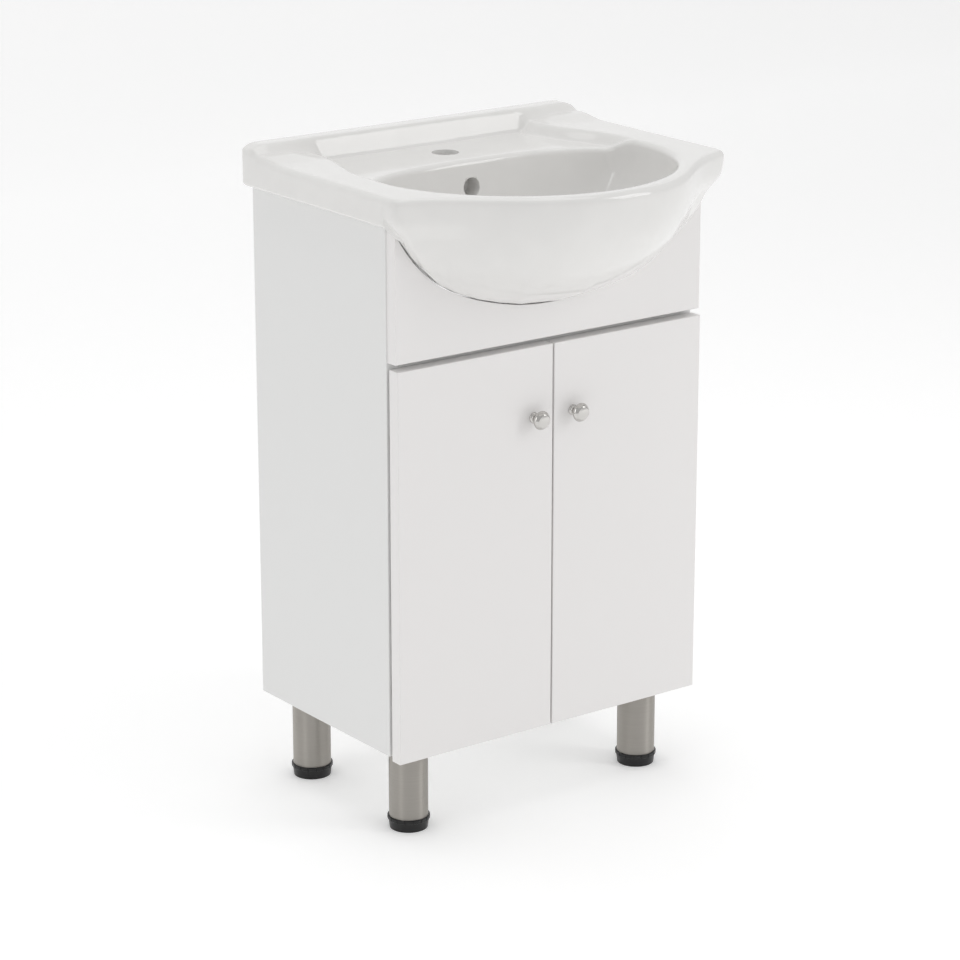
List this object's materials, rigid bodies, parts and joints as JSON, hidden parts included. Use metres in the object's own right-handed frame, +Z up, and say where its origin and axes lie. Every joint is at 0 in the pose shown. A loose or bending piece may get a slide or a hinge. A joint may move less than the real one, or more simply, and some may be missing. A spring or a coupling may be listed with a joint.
{
  "type": "bathroom vanity cabinet",
  "caption": "Freestanding white bathroom vanity cabinet with a bow-front semi-recessed ceramic basin, hinged doors with chrome knobs and adjustable steel legs.",
  "frame": {"origin": "on the floor, midway across the width and midway between the basin's front and the wall plane", "axes": "+Z up, -Y towards the user, +X to the user's right"},
  "size_m": [0.516, 0.459, 0.855],
  "materials": {
    "white_melamine_board": "smooth white melamine facing",
    "white_lacquered_front": "satin white lacquer",
    "glazed_ceramic": "high-gloss white glaze",
    "polished_chrome": "polished chrome plate",
    "brushed_stainless": "brushed along the tube",
    "black_plastic": "moulded black plastic",
    "zinc_plated_steel": "bright zinc plate",
    "nickel_plated_steel": "nickel plate",
    "beech": "turned beech dowel",
    "clear_rubber": "translucent soft bumper",
    "white_sealant": "cured white sealant"
  },
  "bodies": {
    "cabinet": {"basin": "glazed_ceramic", "bottom_panel": "white_melamine_board", "cam_bolts": "zinc_plated_steel", "cam_locks": "zinc_plated_steel", "door_bumpers": "clear_rubber", "dowels": "beech", "fascia_panel": "white_lacquered_front", "fascia_screws": "zinc_plated_steel", "front_rail": "white_melamine_board", "hinge_arm_lower_left": "nickel_plated_steel", "hinge_arm_lower_right": "nickel_plated_steel", "hinge_arm_upper_left": "nickel_plated_steel", "hinge_arm_upper_right": "nickel_plated_steel", "hinge_plate_lower_left": "nickel_plated_steel", "hinge_plate_lower_right": "nickel_plated_steel", "hinge_plate_screws": "zinc_plated_steel", "hinge_plate_upper_left": "nickel_plated_steel", "hinge_plate_upper_right": "nickel_plated_steel", "leg_bush_front_left": "black_plastic", "leg_bush_front_right": "black_plastic", "leg_bush_rear_left": "black_plastic", "leg_bush_rear_right": "black_plastic", "leg_plate_front_left": "zinc_plated_steel", "leg_plate_front_right": "zinc_plated_steel", "leg_plate_rear_left": "zinc_plated_steel", "leg_plate_rear_right": "zinc_plated_steel", "leg_screws": "zinc_plated_steel", "leg_tube_front_left": "brushed_stainless", "leg_tube_front_right": "brushed_stainless", "leg_tube_rear_left": "brushed_stainless", "leg_tube_rear_right": "brushed_stainless", "rear_bottom_rail": "white_melamine_board", "rear_top_rail": "white_melamine_board", "sealant_bead": "white_sealant", "shelf": "white_melamine_board", "shelf_pins": "zinc_plated_steel", "side_panel_left": "white_melamine_board", "side_panel_right": "white_melamine_board"},
    "left_door": {"door_left": "white_lacquered_front", "knob_left": "polished_chrome", "knob_screw_left": "zinc_plated_steel", "hinge_pins_left": "zinc_plated_steel", "hinge_cup_screws_left": "zinc_plated_steel", "hinge_cup_upper_left": "nickel_plated_steel", "hinge_cup_lower_left": "nickel_plated_steel"},
    "right_door": {"door_right": "white_lacquered_front", "knob_right": "polished_chrome", "knob_screw_right": "zinc_plated_steel", "hinge_pins_right": "zinc_plated_steel", "hinge_cup_screws_right": "zinc_plated_steel", "hinge_cup_upper_right": "nickel_plated_steel", "hinge_cup_lower_right": "nickel_plated_steel"},
    "front_left_foot": {"foot_front_left": "black_plastic"},
    "front_right_foot": {"foot_front_right": "black_plastic"},
    "rear_left_foot": {"foot_rear_left": "black_plastic"},
    "rear_right_foot": {"foot_rear_right": "black_plastic"}
  },
  "joints": [
    {"name": "left_door_hinge", "type": "hinge", "parent": "cabinet", "child": "left_door", "pos_m": [-0.2304, -0.0745, 0.3675], "axis": [0, 0, -1], "range_deg": [0, 95], "stiffness_Nm_per_rad": 0.3, "springref_deg": -34.38},
    {"name": "right_door_hinge", "type": "hinge", "parent": "cabinet", "child": "right_door", "pos_m": [0.2304, -0.0745, 0.3675], "axis": [0, 0, 1], "range_deg": [0, 95], "stiffness_Nm_per_rad": 0.3, "springref_deg": -34.38},
    {"name": "front_left_foot_screw", "type": "slide", "parent": "cabinet", "child": "front_left_foot", "axis": [0, 0, -1], "range_m": [0, 0.012]},
    {"name": "front_right_foot_screw", "type": "slide", "parent": "cabinet", "child": "front_right_foot", "axis": [0, 0, -1], "range_m": [0, 0.012]},
    {"name": "rear_left_foot_screw", "type": "slide", "parent": "cabinet", "child": "rear_left_foot", "axis": [0, 0, -1], "range_m": [0, 0.012]},
    {"name": "rear_right_foot_screw", "type": "slide", "parent": "cabinet", "child": "rear_right_foot", "axis": [0, 0, -1], "range_m": [0, 0.012]}
  ]
}
